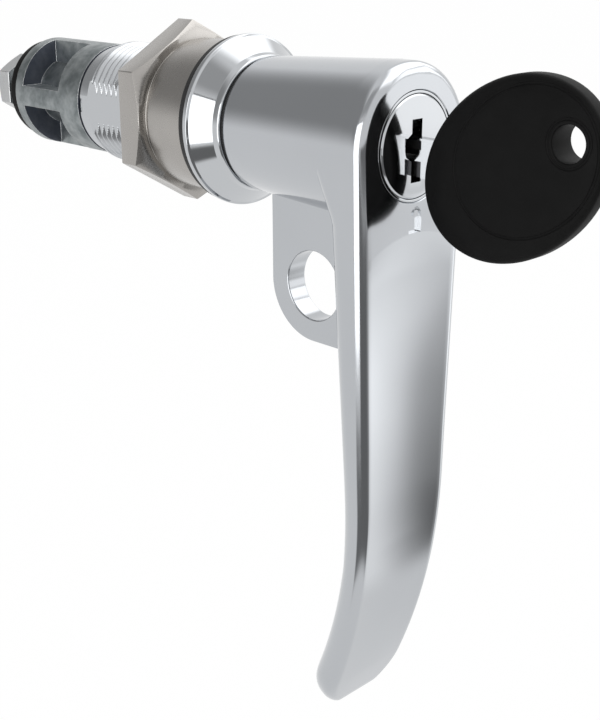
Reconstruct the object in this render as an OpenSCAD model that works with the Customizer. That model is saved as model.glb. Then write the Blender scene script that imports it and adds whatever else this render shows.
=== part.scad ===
// Locking L-handle cam latch for a cabinet door.
// The axis of the latch lies along Y: the user stands at -Y, the inside of the cabinet is at +Y.
// The origin is on that axis, in the rear plane of the bezel, where the door panel is clamped.
// Z is up and the lever hangs down. All sizes are in millimetres.

/* [Housing] */
// Outside diameter of the thread on the barrel, which has a pitch of 1.5
thread_d = 22.9; // [22.6:0.1:23.1]
// Width over the two flats that stop the barrel turning in the panel
flat_af = 21.3; // [21.2:0.1:21.6]
// Length of the barrel behind the bezel
barrel_len = 36.2; // [34:0.1:40]
// Tapered lead at the end of the thread
lead_len = 2; // [1.5:0.1:3]
// Largest diameter of the bezel
bezel_d = 30; // [29:0.1:34]
// Depth of the bezel in front of the panel
bezel_len = 5.5; // [5.5:0.1:6.5]
// Bore that carries the hub of the handle
bore_d = 16.1; // [15.9:0.1:16.3]

/* [Nut and gasket] */
// Width over the flats of the mounting nut
nut_af = 28.7; // [28:0.1:32]
// Height of the nut's hexagon
nut_h = 5.4; // [4:0.1:7]
// Diameter of the round collar in front of the hexagon
collar_d = 27; // [25:0.1:27.6]
// Length of that collar
collar_len = 10.4; // [8:0.1:12]
// Thickness of the rubber gasket
gasket_t = 1.5; // [1:0.1:2.5]

/* [Handle] */
// Distance from the panel to the front face of the handle
reach = 39.2; // [38.4:0.1:42]
// Diameter of the round head that holds the lock
head_d = 26.4; // [25.6:0.1:29]
// Diameter of the grip barrel where it meets the bezel
grip_d = 23.4; // [22.8:0.1:24]
// Straight part of the lever, below the axis
lever_straight = 59; // [48:1:70]
// Curved part of the lever, along its front face
lever_curved = 50; // [36:0.5:56]
// Radius of the curve that leads the tip back to the panel
bend_r = 107; // [85:1:130]
// Thickness of the lever at the head
lever_t_head = 8.8; // [8:0.1:9.5]
// Thickness of the lever where it is thinnest
lever_t_mid = 5.6; // [5:0.1:6.5]
// Thickness of the lever at the tip
lever_t_tip = 6; // [5.2:0.1:6.8]
// How far the back of the lever flares out under the grip
flare_out = 5.7; // [3:0.1:7]
// Distance below the axis where that flare ends
flare_low = 27; // [22:0.5:32]
// Width of the lever at the tip, before it rounds off
lever_w_tip = 19; // [16:0.1:22]
// Length over which the tip rounds off, seen from the front
tip_round = 9.4; // [6:0.1:12]
// Length over which the tip rounds off, seen from the side
tip_nose = 2.6; // [2:0.1:4]
// Depth of the hollow for the thumb in the front face
thumb_depth = 0.8; // [0.3:0.1:1]

/* [Padlock eye] */
// Hole for the shackle of a padlock
eye_d = 12.4; // [8:0.1:13]
// Thickness of the web that carries the eye
web_t = 4.3; // [3:0.1:5.5]
// Distance from the panel to the centre of the eye
eye_y = 18.7; // [18:0.1:20]
// Depth of the centre of the eye below the axis
eye_z = 26.5; // [25:0.1:30]
// Width of metal left around the eye
eye_rim = 4; // [2.6:0.1:4.1]

/* [Spindle and cam seat] */
// Diameter of the cast spindle behind the barrel
spindle_d = 21.2; // [20.6:0.1:21.4]
// Length of the cast spindle behind the barrel
spindle_len = 22.1; // [20:0.1:26]
// Width of each rib between the cored pockets
rib_w = 3.9; // [3:0.1:5]
// Thickness of the ring behind the pockets
ring_t = 3.2; // [2.6:0.1:4]
// Width over the flats of the square seat for the cam
seat_af = 8; // [7.6:0.1:8.1]
// Length of the seat behind the washer
seat_len = 7; // [4:0.1:9]
// Diameter of the black washer in front of the cam
washer_d = 19.8; // [16:0.1:20]
// Thickness of the black washer
washer_t = 2.4; // [1:0.1:3]
// Width over the flats of the cam screw's head
screw_af = 11.1; // [10:0.1:11.4]

/* [Lock] */
// Outside diameter of the lock's sleeve
sleeve_d = 17.6; // [17.4:0.1:18]
// Diameter of the plug inside the sleeve
plug_d = 13; // [12.8:0.1:13.6]
// Height of the key slot
keyway_h = 10; // [9:0.1:10]
// Width of the key slot
keyway_w = 2.4; // [2.2:0.1:2.8]
// Number of wafers in the plug
wafer_count = 5; // [3:1:5]
// Throw of the bolt that locks the handle
bolt_throw = 1.8; // [1.5:0.1:1.8]

/* [Key] */
// Length of the oval key head
head_l = 34.2; // [28:0.2:40]
// Width of the oval key head
head_w = 26.4; // [22:0.2:32]
// Tilt of the oval head against the axis of the lock
head_tilt = 33.6; // [0:0.1:40]
// Thickness of the key head
head_t = 5.2; // [4.5:0.1:7]
// Hole for a key ring
ring_hole_d = 5.5; // [4:0.1:7]

/* [Hidden] */
$fn = 64;

// Clearances: a shaft that turns, a piece that is pushed home, and pieces that pass each other
running = 0.05;
seated = 0.02;
passing = 0.3;
// Extra length for a cut, so that it leaves no skin
over = 0.5;

// Housing
thread_r = thread_d / 2;
under_nut_r = thread_r - 0.35;
lead_r = thread_r - 0.8;
bore_r = bore_d / 2;
bezel_r = bezel_d / 2;
bezel_rim = 0.9;
lip_r = grip_d / 2 - 0.05;
lip_round = 0.5;
barrel_end = barrel_len;

// Handle turns 90 degrees, held by a lug in an arc-shaped recess in the lip of the bezel
turn = 90;
lug_half = 12;
lug_play = 1.6;
lug_ro = bore_r + 1.55;
recess_ro = lug_ro + passing;
recess_depth = 1.7;
recess_floor = -bezel_len + recess_depth;
shoulder_y = -bezel_len - 0.7;

// Mounting nut
hex_r = nut_af / sqrt(3);
collar_r = collar_d / 2;
nut_groove = 1;
collar_front = gasket_t;
hex_front = collar_front + collar_len + nut_groove;
nut_rear = hex_front + nut_h;
thread_relief = 0.6;

// Handle
front_y = -reach;
head_r = head_d / 2;
grip_r = grip_d / 2;
edge_r = 1.7;
back_r = 4.2;
hub_r = bore_r - running;
hub_end = 16;
o_ring_y = 2.7;
o_ring_t = 1.9;
o_ring_room = 2.3;
tang_af = 9;
tang_front = 5.3;
pin_d = 4;
pin_y = 11;

// Lock cylinder
sleeve_r = sleeve_d / 2;
sleeve_sunk = 0.2;
sleeve_len = 24.8;
sleeve_front = front_y + sleeve_sunk;
sleeve_rear = sleeve_front + sleeve_len;
plug_r = plug_d / 2;
plug_rim = 0.55;
plug_proud = 0.15;
plug_behind = 1.6;
plug_head_r = sleeve_r - plug_rim;
plug_front = front_y - plug_proud;
plug_head_t = 2.4;
plug_rear = sleeve_rear + plug_behind;
lock_bore_room = 0.2;
lock_bore_end = plug_rear + lock_bore_room;
clip_t = 0.8;
clip_gap = 0.25;
clip_y = sleeve_rear + clip_gap;
clip_depth = 1;
clip_proud = 0.9;
keyway_low = -keyway_h * 0.56;
keyway_high = keyway_h * 0.44;
keyway_len = 23;
keyway_end = plug_front + keyway_len;
keyway_bulge = 1.6;
keyway_bulge_r = 3;
tail_w = 4;
tail_depth = 3;

// Wafers stand in slots across the plug, each pushed by a spring beside it
wafer_t = 1;
wafer_pitch = 3.4;
wafer_lead = 5.4;
wafer_first = plug_front + wafer_lead;
wafer_half = 3;
wafer_low = -5.6;
wafer_high = 5;
tab_out = 5.3;
tab_low = 1;
tab_h = 1;
spring_x = 4.4;
spring_r = 0.7;
spring_foot = -2.6;

// Bolt and the spiral slot that drives it
cavity_r = 6;
cavity_end = 0.2;
bolt_t = 2.8;
bolt_rear = cavity_end - passing;
bolt_front = bolt_rear - bolt_t;
bolt_w = 5;
bolt_gap = 0.15;
bolt_tip = hub_r - 0.2;
bolt_foot = 0.9;
notch_r = bolt_tip + bolt_throw + passing;
follower_r = 0.7;
follower_at = 2.2;
tail_disc_r = 5.6;
tail_disc_t = 1.7;
tail_disc_rear = bolt_front - passing;
tail_disc_front = tail_disc_rear - tail_disc_t;
slot_half = follower_r + 0.2;

// Spindle
spindle_front = barrel_end + passing;
spindle_rear = spindle_front + spindle_len;
spindle_r = spindle_d / 2;
shank_r = bore_r - running * 2;
shank_front = hub_end + 0.2;
ring_chamfer = 0.7;
pocket_rear = spindle_rear - ring_t;
pocket_floor = 3;
pocket_lead = 6.5;
pocket_core = 6.4;
pocket_ramp = pocket_rear - pocket_floor - spindle_front - pocket_lead;
pocket_rise = spindle_r - pocket_core;
pocket_arc = (pow(pocket_ramp, 2) + pow(pocket_rise, 2)) / (2 * pocket_rise);
washer_rear = spindle_rear + washer_t;
seat_rear = washer_rear + seat_len;
screw_r = 3.1;
screw_head_h = 4;
screw_hex_r = screw_af / sqrt(3);
screw_end = spindle_rear - 10;

// Key
blade_t = keyway_w - 2 * passing;
blade_above = 1;
blade_below = 2.8;
blade_short = 1;
blade_in_head = 2;
blade_low = keyway_low + blade_above;
blade_high = keyway_high - blade_below;
blade_tip = keyway_end - blade_short;
blade_middle = (blade_low + blade_high) / 2;
groove_h = 1.8;
groove_depth = 0.5;
key_gap = 3;
head_reach = sqrt(pow(head_l / 2 * cos(head_tilt), 2) + pow(head_w / 2 * sin(head_tilt), 2));
key_head_y = front_y - key_gap - head_reach;
key_head_z = -1.1;
blade_root = key_head_y - blade_in_head;
ring_along = head_l * 0.342;
ring_off = 1.3;
ring_hole_y = key_head_y - ring_along * cos(head_tilt) - ring_off * sin(head_tilt);
ring_hole_z = key_head_z + ring_along * sin(head_tilt) - ring_off * cos(head_tilt);

// A round bar along the axis, from one place on it to another
module bar(y0, y1, r) {
    translate([0, y0, 0])
        rotate([-90, 0, 0])
            cylinder(h = y1 - y0, r = r);
}

// A turned piece: its outline is given as [radius, place along the axis]
module turned(outline) {
    rotate([-90, 0, 0])
        rotate_extrude()
            polygon(outline);
}

// A stretch of a turned ring, between two angles counted from the top towards +X
module turned_sector(outline, from, to) {
    rotate([-90, 0, 0])
        rotate([0, 0, from - 90])
            rotate_extrude(angle = to - from)
                polygon(outline);
}

// A plate that stands across the axis: its outline is drawn in X and Z
module across(y0, y1) {
    translate([0, y0, 0])
        rotate([-90, 0, 0])
            linear_extrude(height = y1 - y0)
                mirror([0, 1])
                    children();
}

// A plate that stands along the axis: its outline is drawn in Y and Z, x_half to each side
module along(x_half) {
    translate([-x_half, 0, 0])
        rotate([90, 0, 90])
            linear_extrude(height = 2 * x_half)
                children();
}

// A hexagon along the axis with its corners up and down
module hexagon(y0, y1, r) {
    translate([0, y0, 0])
        rotate([-90, 0, 0])
            rotate([0, 0, 30])
                cylinder(h = y1 - y0, r = r, $fn = 6);
}

// A square bar along the axis
module square_bar(y0, y1, af) {
    translate([-af / 2, y0, -af / 2])
        cube([af, y1 - y0, af]);
}

// Points of an arc from angle a0 to a1, in steps steps
function arc(cx, cy, r, a0, a1, steps) =
    [for (i = [0:steps]) let (a = a0 + (a1 - a0) * i / steps) [cx + r * cos(a), cy + r * sin(a)]];

// Bezel and threaded barrel, one casting with two flats along the thread
module mounting_housing() {
    color([0.78, 0.79, 0.8])
        difference() {
            union() {
                turned(concat(
                    [[0, 0], [bezel_r, 0], [bezel_r, -bezel_rim], [bezel_r - 0.5, -bezel_rim - 0.2]],
                    [[lip_r + 0.35, -bezel_len + 1.2]],
                    arc(lip_r - lip_round, -bezel_len + lip_round, lip_round, 0, -90, 4),
                    [[0, -bezel_len]]));
                intersection() {
                    union() {
                        bar(-over, nut_rear + thread_relief, under_nut_r);
                        bar(nut_rear + thread_relief, barrel_end - lead_len, thread_r);
                        turned([[0, barrel_end - lead_len], [thread_r, barrel_end - lead_len],
                                [lead_r, barrel_end], [0, barrel_end]]);
                    }
                    translate([-flat_af / 2, -2 * over, -thread_r])
                        cube([flat_af, barrel_end + 3 * over, 2 * thread_r]);
                }
            }
            bar(-bezel_len - over, barrel_end + over, bore_r);
            stop_recess();
            for (a = [0, turn]) {
                rotate([0, a, 0])
                    bolt_notch();
            }
        }
}

// Arc in the lip of the bezel in which the stop lug of the handle travels
module stop_recess() {
    turned_sector([[bore_r - over, -bezel_len - over], [recess_ro, -bezel_len - over],
                   [recess_ro, recess_floor], [bore_r - over, recess_floor]],
                  180 - lug_half - lug_play, 180 + turn + lug_half + lug_play);
}

// Notch in the bore that takes the tip of the lock bolt
module bolt_notch() {
    translate([-bolt_w / 2 - passing, bolt_front - passing, 0])
        cube([bolt_w + 2 * passing, bolt_t + 2 * passing, notch_r]);
}

// Flat rubber ring between bezel and panel
module panel_gasket() {
    color([0.06, 0.06, 0.06])
        difference() {
            bar(0, gasket_t, bezel_r - 0.25);
            bar(-over, gasket_t + over, thread_r + 0.1);
        }
}

// Hexagon nut with a long round collar that reaches the panel
module mounting_nut() {
    chamfer_h = (hex_r - nut_af / 2) * tan(30);
    color([0.62, 0.61, 0.59])
        difference() {
            union() {
                bar(collar_front, hex_front - nut_groove, collar_r);
                bar(hex_front - nut_groove - over, hex_front + over, collar_r - 0.8);
                intersection() {
                    hexagon(hex_front, nut_rear, hex_r);
                    turned([[0, hex_front], [nut_af / 2, hex_front], [hex_r + 0.01, hex_front + chamfer_h],
                            [hex_r + 0.01, nut_rear], [0, nut_rear]]);
                }
            }
            bar(collar_front - over, nut_rear + over, under_nut_r + seated);
        }
}

// Thin black seal that lies in the gap between bezel and grip
module hub_seal() {
    color([0.05, 0.05, 0.05])
        difference() {
            bar(-bezel_len - 0.45, -bezel_len, lip_r - 0.5);
            bar(-bezel_len - over, -bezel_len + over, recess_ro + 0.25);
        }
}

// Half width of the lever at a distance s along its front face
function lever_half(s) =
    let (full = lever_straight + lever_curved, k = s / full)
    (head_r - 0.3) * (1 - k) + lever_w_tip / 2 * k;

// Flare of the lever's back at that distance, which blends it into the grip
function lever_flare(s) =
    let (below = max(0, min(1, (flare_low - s) / (flare_low - head_r))))
    flare_out * min(1, s / head_r) * pow(below, 1.5);

// Thickness of the lever at that distance
function lever_t(s) =
    let (k = s / (lever_straight + lever_curved), thin = 0.68)
    lever_flare(s) + lever_t_head + (lever_t_mid - lever_t_head) * min(1, k / thin)
    + (lever_t_tip - lever_t_mid) * max(0, k - thin) / (1 - thin);

// Share of the width or thickness that is left where the tip rounds off over a length, as half an oval
function tip_factor(s, length) =
    let (u = max(0, s - lever_straight - lever_curved + length) / length)
    sqrt(max(0, 1 - u * u));

// A place on the lever: x across, q back from the front face, s along it
function lever_point(x, q, s) =
    s <= lever_straight ? [x, front_y + q, -s]
    : let (a = (s - lever_straight) / bend_r * 180 / PI)
      [x, front_y + bend_r - (bend_r - q) * cos(a), -lever_straight - (bend_r - q) * sin(a)];

// Depth of the thumb hollow, which starts below the lock on an arc and runs out before the tip
thumb_start = 13.9;
thumb_arc = 19;
thumb_ramp = 7;
thumb_fade = 30;
function thumb(s, x) =
    let (full = lever_straight + lever_curved, below = s - thumb_start - x * x / (2 * thumb_arc))
    thumb_depth * min(1, max(0, below / thumb_ramp), max(0, (full - tip_round - s) / thumb_fade));

// One section of the lever, as points [x, q] around it
function lever_section(s) =
    let (
        f = max(0.06, tip_factor(s, tip_round)),
        w = lever_half(s) * f,
        t = lever_t(s),
        nose = t * 0.5 * (1 - max(0.1, tip_factor(s, tip_nose))),
        rf = edge_r * f,
        rb = back_r * f,
        q0 = nose,
        q1 = t - nose,
        rb2 = min(rb, (q1 - q0) * 0.75, w * 0.9),
        rf2 = min(rf, (q1 - q0) * 0.24, w * 0.9)
    )
    concat(
        arc(-w + rf2, q0 + rf2, rf2, 180, 270, 4),
        [for (i = [1:7]) let (k = i / 4 - 1, x = k * (w - rf2)) [x, q0 + f * thumb(s, x) * (1 - k * k)]],
        arc(w - rf2, q0 + rf2, rf2, 270, 360, 4),
        arc(w - rb2, q1 - rb2, rb2, 0, 90, 6),
        arc(-w + rb2, q1 - rb2, rb2, 90, 180, 6));

// A solid through a row of closed rings of points, each with the same number of points
module loft(rings) {
    n = len(rings[0]);
    m = len(rings);
    points = [for (ring = rings) for (p = ring) p];
    sides = [for (i = [0:m - 2]) for (j = [0:n - 1])
             for (half = [0, 1])
                 let (a = i * n + j, b = i * n + (j + 1) % n, c = b + n, e = a + n)
                 half == 0 ? [a, b, c] : [a, c, e]];
    caps = [[for (j = [0:n - 1]) n - 1 - j], [for (j = [0:n - 1]) (m - 1) * n + j]];
    polyhedron(points = points, faces = concat(sides, caps), convexity = 6);
}

// Lever as a loft through its sections, from the head to the tip
module lever() {
    full = lever_straight + lever_curved;
    plain = 36;
    stations = concat(
        [for (i = [0:plain]) (full - tip_round) * i / plain],
        [for (a = [12:12:60]) full - tip_round + tip_round * sin(a)],
        [for (a = [32:16:80]) full - tip_nose + tip_nose * sin(a)],
        [full - tip_nose * 0.01]);
    loft([for (s = stations) [for (p = lever_section(s)) lever_point(p[0], p[1], s)]]);
}

// Flat web under the grip with the eye for a padlock
module padlock_web() {
    rim = eye_d / 2 + eye_rim;
    along(web_t / 2)
        union() {
            translate([-eye_y, -eye_z])
                circle(r = rim);
            translate([-reach + lever_t_head / 2, -eye_z - rim])
                square([reach - lever_t_head / 2 - eye_y, rim]);
            translate([-reach + lever_t_head / 2, -eye_z])
                square([reach - lever_t_head / 2 - eye_y + rim, eye_z - grip_r + 1.4]);
        }
}

// Die-cast handle: head and grip barrel, lever, padlock web, hub and stop lug
module handle() {
    color([0.76, 0.77, 0.78])
        difference() {
            union() {
                turned(concat(
                    [[0, shoulder_y], [grip_r - 0.7, shoulder_y], [grip_r, shoulder_y - 0.7]],
                    [[head_r - 0.1, front_y + 4]],
                    arc(head_r - edge_r, front_y + edge_r, edge_r, 0, -90, 6),
                    [[0, front_y]]));
                bar(shoulder_y - over, hub_end, hub_r);
                turned_sector([[hub_r - over, shoulder_y - over], [lug_ro, shoulder_y - over],
                               [lug_ro, recess_floor - passing], [hub_r - over, recess_floor - passing]],
                              180 - lug_half, 180 + lug_half);
                lever();
                padlock_web();
            }
            bar(front_y - over, lock_bore_end, sleeve_r + seated);
            bar(lock_bore_end - over, cavity_end, cavity_r);
            translate([-bolt_w / 2 - bolt_gap, bolt_front - bolt_gap, 0])
                cube([bolt_w + 2 * bolt_gap, cavity_end - bolt_front + bolt_gap, hub_r + over]);
            difference() {
                bar(o_ring_y - o_ring_room / 2, o_ring_y + o_ring_room / 2, hub_r + over);
                bar(o_ring_y - o_ring_room, o_ring_y + o_ring_room, hub_r - o_ring_t);
            }
            square_bar(tang_front - passing, hub_end + over, tang_af + 2 * seated);
            cross_pin(pin_d / 2 + seated, hub_r + over);
            translate([0, -eye_y, -eye_z])
                rotate([0, 90, 0])
                    cylinder(h = web_t + 2 * over, r = eye_d / 2, center = true);
        }
}

// A pin across the axis, half to each side
module cross_pin(r, half) {
    translate([0, pin_y, 0])
        rotate([0, 90, 0])
            cylinder(h = 2 * half, r = r, center = true);
}

// Rubber ring that seals the hub in its bore
module journal_o_ring() {
    color([0.05, 0.05, 0.05])
        translate([0, o_ring_y, 0])
            rotate([-90, 0, 0])
                rotate_extrude()
                    translate([hub_r - o_ring_t / 2, 0])
                        circle(r = o_ring_t / 2 - seated);
}

// Pin that drives the spindle from the hub
module drive_pin() {
    color([0.6, 0.6, 0.62])
        cross_pin(pin_d / 2, hub_r - 0.3);
}

// Raw zinc casting that carries the cam: tang, shank, four cored pockets, square seat
module spindle() {
    color([0.5, 0.56, 0.58])
        difference() {
            union() {
                square_bar(tang_front, shank_front + over, tang_af);
                bar(shank_front, spindle_front + over, shank_r);
                turned([[0, spindle_front], [spindle_r, spindle_front], [spindle_r, spindle_rear - ring_chamfer],
                        [spindle_r - ring_chamfer, spindle_rear], [0, spindle_rear]]);
                square_bar(spindle_rear - over, seat_rear, seat_af);
            }
            for (a = [0:90:270]) {
                rotate([0, a, 0])
                    spindle_pocket();
            }
            cross_pin(pin_d / 2 + seated, hub_r);
            bar(screw_end - 1, seat_rear + over, screw_r + seated);
        }
}

// One cored pocket between two ribs: a round floor at the ring, which runs out forward on an arc
module spindle_pocket() {
    half_rib = rib_w / 2;
    ramp_start = pocket_rear - pocket_floor;
    sweep = acos(1 - (pocket_rise + over) / pocket_arc);
    intersection() {
        turned_sector(concat(
            [[pocket_core, pocket_rear], [spindle_r + over, pocket_rear]],
            arc(pocket_core + pocket_arc, ramp_start, pocket_arc, 180 + sweep, 180, 6)),
            0, 90);
        translate([half_rib, spindle_front, half_rib])
            cube([spindle_r, pocket_rear - spindle_front + over, spindle_r]);
    }
}

// Black washer between spindle and cam
module cam_washer() {
    color([0.07, 0.07, 0.08])
        difference() {
            bar(spindle_rear, washer_rear, washer_d / 2);
            bar(spindle_rear - over, washer_rear + over, seat_af / sqrt(2) + 0.1);
        }
}

// Hexagon screw that clamps the cam on its seat
module cam_screw() {
    head_front = seat_rear + 0.2;
    color([0.7, 0.71, 0.72])
        union() {
            bar(screw_end, head_front + over, screw_r);
            intersection() {
                hexagon(head_front, head_front + screw_head_h, screw_hex_r);
                turned([[0, head_front], [screw_hex_r + 0.1, head_front],
                        [screw_hex_r + 0.1, head_front + screw_head_h - 0.5],
                        [screw_af / 2, head_front + screw_head_h], [0, head_front + screw_head_h]]);
            }
        }
}

// Sleeve of the lock, pressed into the head of the handle
module lock_sleeve() {
    head_seat = plug_front + plug_head_t + passing;
    color([0.3, 0.31, 0.32])
        difference() {
            bar(sleeve_front, sleeve_rear, sleeve_r);
            bar(sleeve_front - over, head_seat, plug_head_r + running * 2);
            bar(sleeve_front - over, sleeve_rear + over, plug_r + running);
        }
}

// Outline of the key slot, drawn in X and Z, with a round bulge on one side
module keyway_outline() {
    translate([-keyway_w / 2, keyway_low])
        square([keyway_w, keyway_h]);
    intersection() {
        translate([-keyway_w / 2 - keyway_bulge + keyway_bulge_r, 0])
            circle(r = keyway_bulge_r);
        translate([-plug_r, -keyway_bulge_r])
            square([plug_r, 2 * keyway_bulge_r]);
    }
}

// Plug of the lock, turned by the key
module lock_plug() {
    chamfer = 0.35;
    color([0.72, 0.73, 0.74])
        difference() {
            union() {
                turned([[0, plug_front], [plug_head_r - chamfer, plug_front],
                        [plug_head_r, plug_front + chamfer], [plug_head_r, plug_front + plug_head_t],
                        [plug_r, plug_front + plug_head_t], [plug_r, clip_y - seated],
                        [plug_r - clip_depth, clip_y - seated], [plug_r - clip_depth, clip_y + clip_t + seated],
                        [plug_r, clip_y + clip_t + seated], [plug_r, plug_rear], [0, plug_rear]]);
            }
            across(plug_front - over, keyway_end)
                keyway_outline();
            each_wafer()
                wafer_room();
            square_bar(plug_rear - tail_depth, plug_rear + over, tail_w + 2 * seated);
        }
}

// The places of the wafers along the plug
module each_wafer() {
    for (i = [0:wafer_count - 1]) {
        translate([0, wafer_first + wafer_pitch * i, 0])
            children();
    }
}

// Slot across the plug for one wafer, with room for its tab and spring
module wafer_room() {
    play = 0.1;
    translate([-wafer_half - play, -wafer_t / 2 - play, -plug_r - over])
        cube([2 * (wafer_half + play), wafer_t + 2 * play, 2 * (plug_r + over)]);
    translate([0, -spring_r - play, spring_foot])
        cube([tab_out + play, 2 * (spring_r + play), tab_low + tab_h + 1 - spring_foot]);
}

// Flat brass wafers with a window for the key and a tab for the spring
module wafers() {
    window_x = keyway_w / 2 - 0.05;
    color([0.7, 0.69, 0.66])
        each_wafer()
            across(-wafer_t / 2, wafer_t / 2)
                difference() {
                    union() {
                        translate([-wafer_half, wafer_low])
                            square([2 * wafer_half, wafer_high - wafer_low]);
                        translate([0, tab_low])
                            square([tab_out, tab_h]);
                    }
                    translate([-window_x, blade_low - passing])
                        square([2 * window_x, blade_high - blade_low + 2 * passing]);
                }
}

// Small springs under the wafers' tabs
module wafer_springs() {
    color([0.6, 0.6, 0.62])
        each_wafer()
            translate([spring_x, 0, spring_foot])
                difference() {
                    cylinder(h = tab_low - spring_foot, r = spring_r, $fn = 24);
                    translate([0, 0, -over])
                        cylinder(h = tab_low - spring_foot + 2 * over, r = spring_r - 0.3, $fn = 24);
                }
}

// Open ring in a groove behind the sleeve, which keeps the plug in
module plug_clip() {
    gap_half = 32;
    color([0.55, 0.55, 0.57])
        turned_sector([[plug_r - clip_depth + seated, clip_y], [plug_r + clip_proud, clip_y],
                       [plug_r + clip_proud, clip_y + clip_t], [plug_r - clip_depth + seated, clip_y + clip_t]],
                      gap_half, 360 - gap_half);
}

// Place of the follower pin in the spiral slot when the plug stands at angle a
function spiral_r(a) = follower_at + bolt_throw * min(1, max(0, a / turn));
function spiral_point(a, side) =
    let (r = spiral_r(a) + side * slot_half) [-r * sin(a), r * cos(a)];

// Tail of the lock: a square end in the plug, a rod, and a disc with a spiral slot
module lock_tail() {
    lead_in = 26;
    run_out = 16;
    step = 4;
    color([0.66, 0.67, 0.68])
        difference() {
            union() {
                square_bar(plug_rear - tail_depth + 0.1, plug_rear + 0.6, tail_w);
                bar(plug_rear, tail_disc_front + over, tail_w / 2);
                bar(tail_disc_front, tail_disc_rear, tail_disc_r);
            }
            across(tail_disc_front + 0.2, tail_disc_rear + over)
                polygon(concat([for (a = [-lead_in:step:turn + run_out]) spiral_point(a, 1)],
                               [for (a = [turn + run_out:-step:-lead_in]) spiral_point(a, -1)]));
        }
}

// Sliding bolt that locks the hub to the housing
module lock_bolt() {
    color([0.68, 0.69, 0.7])
        difference() {
            intersection() {
                translate([-bolt_w / 2, bolt_front, bolt_foot])
                    cube([bolt_w, bolt_t, bolt_tip - bolt_foot]);
                bar(bolt_front - over, bolt_rear + over, bolt_tip);
            }
            translate([0, 0, follower_at])
                bar(bolt_front - over, bolt_front + 1.8, follower_r + seated);
        }
}

// Pin in the bolt that runs in the spiral slot
module bolt_pin() {
    color([0.6, 0.6, 0.62])
        translate([0, 0, follower_at])
            bar(tail_disc_front + 0.5, bolt_front + 1.7, follower_r);
}

// Side view of the key's blade: a bar with a pointed tip and cuts over the wafers
module blade_outline() {
    tip = 2.2;
    cut = 0.9;
    difference() {
        polygon([[blade_root, blade_low], [blade_tip - tip, blade_low], [blade_tip, blade_middle],
                 [blade_tip - tip, blade_high], [blade_root, blade_high]]);
        for (i = [0:wafer_count - 1]) {
            translate([wafer_first + wafer_pitch * i, blade_high + 0.3 * (i % 2)])
                rotate(45)
                    square(cut * sqrt(2), center = true);
            translate([wafer_first + wafer_pitch * i, blade_low - 0.3 * ((i + 1) % 2)])
                rotate(45)
                    square(cut * sqrt(2), center = true);
        }
    }
}

// Flat steel blade of the key, with a groove along the side that has the bulge of the key slot
module key_blade() {
    groove_start = key_head_y + head_reach - 3;
    color([0.74, 0.74, 0.75])
        difference() {
            along(blade_t / 2)
                blade_outline();
            translate([-blade_t / 2 - over, groove_start, blade_middle - groove_h * 0.3])
                cube([groove_depth + over, blade_tip - groove_start + over, groove_h]);
        }
}

// One tilted oval ring of the key head at a place x across it, smaller by inset all round
function key_ring(x, inset) =
    [for (a = [0:7.5:352.5])
     let (e = (head_l / 2 - inset) * cos(a), g = (head_w / 2 - inset) * sin(a))
     [x, key_head_y + e * cos(head_tilt) + g * sin(head_tilt), key_head_z - e * sin(head_tilt) + g * cos(head_tilt)]];

// Moulded head of the key with a rounded edge and a hole for a ring
module key_head() {
    edge = 1.8;
    flat_half = head_t / 2 - edge;
    color([0.07, 0.07, 0.07])
        difference() {
            loft(concat(
                [for (a = [90:-15:0]) key_ring(-flat_half - edge * sin(a), edge * (1 - cos(a)))],
                [for (a = [0:15:90]) key_ring(flat_half + edge * sin(a), edge * (1 - cos(a)))]));
            translate([0, ring_hole_y, ring_hole_z])
                rotate([0, 90, 0])
                    cylinder(h = head_t + 2 * over, r = ring_hole_d / 2, center = true);
            along(blade_t / 2 + seated)
                translate([blade_root - seated, blade_low - seated])
                    square([key_head_y + head_l / 2 + over - blade_root, blade_high - blade_low + 2 * seated]);
        }
}

mounting_housing();
panel_gasket();
mounting_nut();
hub_seal();
handle();
journal_o_ring();
spindle();
drive_pin();
cam_washer();
cam_screw();
lock_sleeve();
lock_plug();
wafers();
wafer_springs();
plug_clip();
lock_tail();
lock_bolt();
bolt_pin();
key_blade();
key_head();
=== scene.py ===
import math

import bmesh
import bpy
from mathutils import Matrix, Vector


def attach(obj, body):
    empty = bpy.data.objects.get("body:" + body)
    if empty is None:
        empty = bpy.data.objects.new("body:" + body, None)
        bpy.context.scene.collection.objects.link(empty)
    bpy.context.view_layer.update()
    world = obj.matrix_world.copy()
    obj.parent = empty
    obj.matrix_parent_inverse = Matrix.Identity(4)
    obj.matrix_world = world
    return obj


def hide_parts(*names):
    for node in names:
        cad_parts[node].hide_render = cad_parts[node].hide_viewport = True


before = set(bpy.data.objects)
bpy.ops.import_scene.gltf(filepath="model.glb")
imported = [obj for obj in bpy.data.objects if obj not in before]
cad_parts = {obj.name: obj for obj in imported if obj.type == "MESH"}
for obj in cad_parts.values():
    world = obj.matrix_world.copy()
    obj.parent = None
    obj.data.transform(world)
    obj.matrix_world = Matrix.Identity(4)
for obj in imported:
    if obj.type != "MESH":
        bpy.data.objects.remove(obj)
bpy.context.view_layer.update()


# Mounting housing: bezel and barrel in one zinc casting, polished and bright chromed, with a thread of
# 1.5 mm pitch and two flats. It goes through the door panel from the front and holds all the rest.
MM = 0.001
PITCH = 1.5
THREAD_R = 11.43
ROOT_R = 10.62
FLAT_X = 10.33
LEAD_R = 10.5
NECK_R = 11.05
BORE_R = 8.05
RECESS_R, RECESS_FROM, RECESS_TO = 9.95, 165.6, 284.4
NOTCH_R, NOTCH_HALF = 10.1, 20.4
BEZEL_R = 15.0
LIP_Y = -5.5
THREAD_START, THREAD_FADE, LEAD_START, BARREL_END = 17.6, 31.9, 32.4, 36.2


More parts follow.
